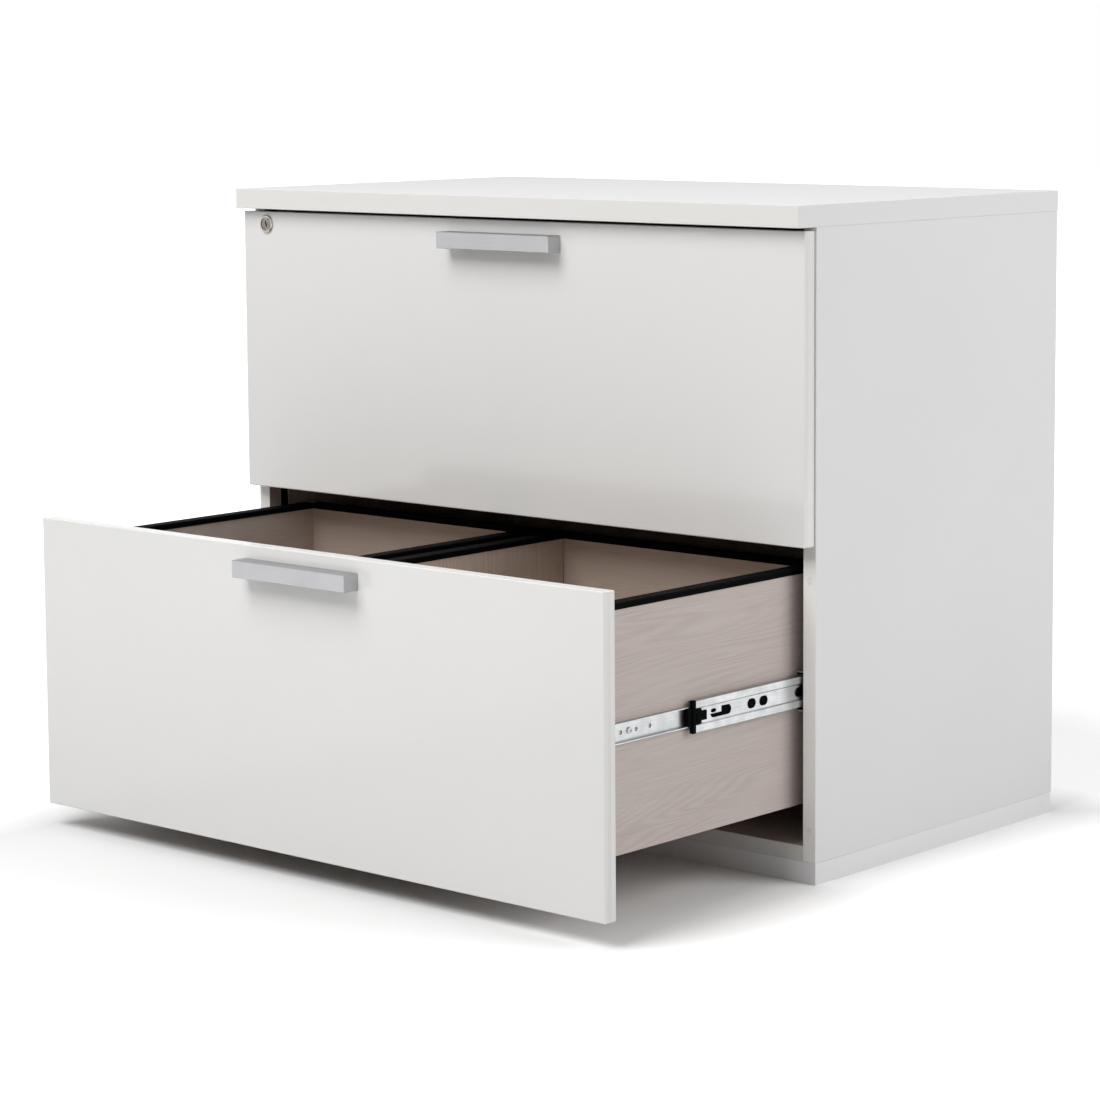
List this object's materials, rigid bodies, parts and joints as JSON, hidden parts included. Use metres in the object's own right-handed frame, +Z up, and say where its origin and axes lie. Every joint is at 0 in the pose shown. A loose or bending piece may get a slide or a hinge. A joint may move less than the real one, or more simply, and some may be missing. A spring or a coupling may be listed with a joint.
{
  "type": "filing cabinet",
  "caption": "Low lateral filing cabinet with wide overlay drawers on ball slides, file rails, bar handles and a cam lock that lifts a locking bar.",
  "frame": {"origin": "on the floor, in the middle of the carcass footprint", "axes": "+X to the right seen from the front, -Y out of the drawer fronts, +Z up"},
  "size_m": [0.9, 0.864, 0.766],
  "materials": {
    "gloss_white_front": "gloss",
    "white_laminate": "satin",
    "woodgrain_melamine": "satin",
    "black_plastic": "satin",
    "zinc_steel": "bright zinc",
    "satin_aluminium": "satin",
    "nickel_plate": "polished",
    "black_steel": "satin",
    "clear_bumper": "clear",
    "beech_dowel": "raw"
  },
  "bodies": {
    "cabinet": {"back_panel": "white_laminate", "bottom_panel": "white_laminate", "bumper_pads": "clear_bumper", "cabinet_rail_screws": "zinc_steel", "cabinet_rail_stops": "black_plastic", "cam_fittings": "zinc_steel", "left_side_panel": "white_laminate", "lock_bar_guides": "black_plastic", "lower_cabinet_rails": "zinc_steel", "panel_dowels": "beech_dowel", "plinth_back": "white_laminate", "plinth_centre": "white_laminate", "plinth_front": "white_laminate", "plinth_left": "white_laminate", "plinth_right": "white_laminate", "right_side_panel": "white_laminate", "top_panel": "white_laminate", "upper_cabinet_rails": "zinc_steel"},
    "lock_bar": {"lock_bar": "black_steel"},
    "lock_cylinder": {"lock_crank": "zinc_steel", "lock_plug": "nickel_plate"},
    "upper_drawer": {"lock_housing": "nickel_plate", "lock_nut": "nickel_plate", "upper_box_back": "woodgrain_melamine", "upper_box_bottom": "woodgrain_melamine", "upper_box_front": "woodgrain_melamine", "upper_box_left_side": "woodgrain_melamine", "upper_box_right_side": "woodgrain_melamine", "upper_drawer_rails": "zinc_steel", "upper_drawer_screws": "zinc_steel", "upper_file_rails": "black_plastic", "upper_front_panel": "gloss_white_front", "upper_handle": "satin_aluminium", "upper_handle_screws": "zinc_steel", "upper_left_divider": "woodgrain_melamine", "upper_lock_hook": "black_steel", "upper_right_divider": "woodgrain_melamine"},
    "lower_drawer": {"lower_box_back": "woodgrain_melamine", "lower_box_bottom": "woodgrain_melamine", "lower_box_front": "woodgrain_melamine", "lower_box_left_side": "woodgrain_melamine", "lower_box_right_side": "woodgrain_melamine", "lower_drawer_rails": "zinc_steel", "lower_drawer_screws": "zinc_steel", "lower_file_rails": "black_plastic", "lower_front_panel": "gloss_white_front", "lower_handle": "satin_aluminium", "lower_handle_screws": "zinc_steel", "lower_left_divider": "woodgrain_melamine", "lower_lock_hook": "black_steel", "lower_right_divider": "woodgrain_melamine"},
    "lower_inner_cages": {"lower_inner_ball_cages": "black_steel"},
    "lower_middle_slides": {"lower_middle_rail_stops": "black_plastic", "lower_middle_rails": "zinc_steel"},
    "lower_outer_cages": {"lower_outer_ball_cages": "black_steel"},
    "upper_inner_cages": {"upper_inner_ball_cages": "black_steel"},
    "upper_middle_slides": {"upper_middle_rail_stops": "black_plastic", "upper_middle_rails": "zinc_steel"},
    "upper_outer_cages": {"upper_outer_ball_cages": "black_steel"}
  },
  "joints": [
    {"name": "lower_drawer_slide", "type": "slide", "parent": "cabinet", "child": "lower_drawer", "axis": [0, -1, 0], "range_m": [-0.34, 0.06]},
    {"name": "lower_middle_slide", "type": "slide", "parent": "cabinet", "child": "lower_middle_slides", "axis": [0, -1, 0], "range_m": [-0.2006, 0.0354]},
    {"name": "lower_outer_cage_roll", "type": "slide", "parent": "cabinet", "child": "lower_outer_cages", "axis": [0, -1, 0], "range_m": [-0.1003, 0.0177]},
    {"name": "lower_inner_cage_roll", "type": "slide", "parent": "cabinet", "child": "lower_inner_cages", "axis": [0, -1, 0], "range_m": [-0.2703, 0.0477]},
    {"name": "upper_drawer_slide", "type": "slide", "parent": "cabinet", "child": "upper_drawer", "axis": [0, -1, 0], "range_m": [0, 0.4]},
    {"name": "upper_middle_slide", "type": "slide", "parent": "cabinet", "child": "upper_middle_slides", "axis": [0, -1, 0], "range_m": [0, 0.236]},
    {"name": "upper_outer_cage_roll", "type": "slide", "parent": "cabinet", "child": "upper_outer_cages", "axis": [0, -1, 0], "range_m": [0, 0.118]},
    {"name": "upper_inner_cage_roll", "type": "slide", "parent": "cabinet", "child": "upper_inner_cages", "axis": [0, -1, 0], "range_m": [0, 0.318]},
    {"name": "lock_bar_lift", "type": "slide", "parent": "cabinet", "child": "lock_bar", "axis": [0, 0, 1], "range_m": [0, 0.01131]},
    {"name": "lock_turn", "type": "hinge", "parent": "upper_drawer", "child": "lock_cylinder", "pos_m": [-0.407, -0.26, 0.7217], "axis": [0, 1, 0], "range_deg": [0, 90]}
  ],
  "couplings": [
    {"joint": "lower_middle_slide", "follows": "lower_drawer_slide", "ratio": 0.59},
    {"joint": "lower_outer_cage_roll", "follows": "lower_drawer_slide", "ratio": 0.295},
    {"joint": "lower_inner_cage_roll", "follows": "lower_drawer_slide", "ratio": 0.795},
    {"joint": "upper_middle_slide", "follows": "upper_drawer_slide", "ratio": 0.59},
    {"joint": "upper_outer_cage_roll", "follows": "upper_drawer_slide", "ratio": 0.295},
    {"joint": "upper_inner_cage_roll", "follows": "upper_drawer_slide", "ratio": 0.795},
    {"joint": "lock_turn", "follows": "lock_bar_lift", "rad_per_m": 138.84}
  ]
}
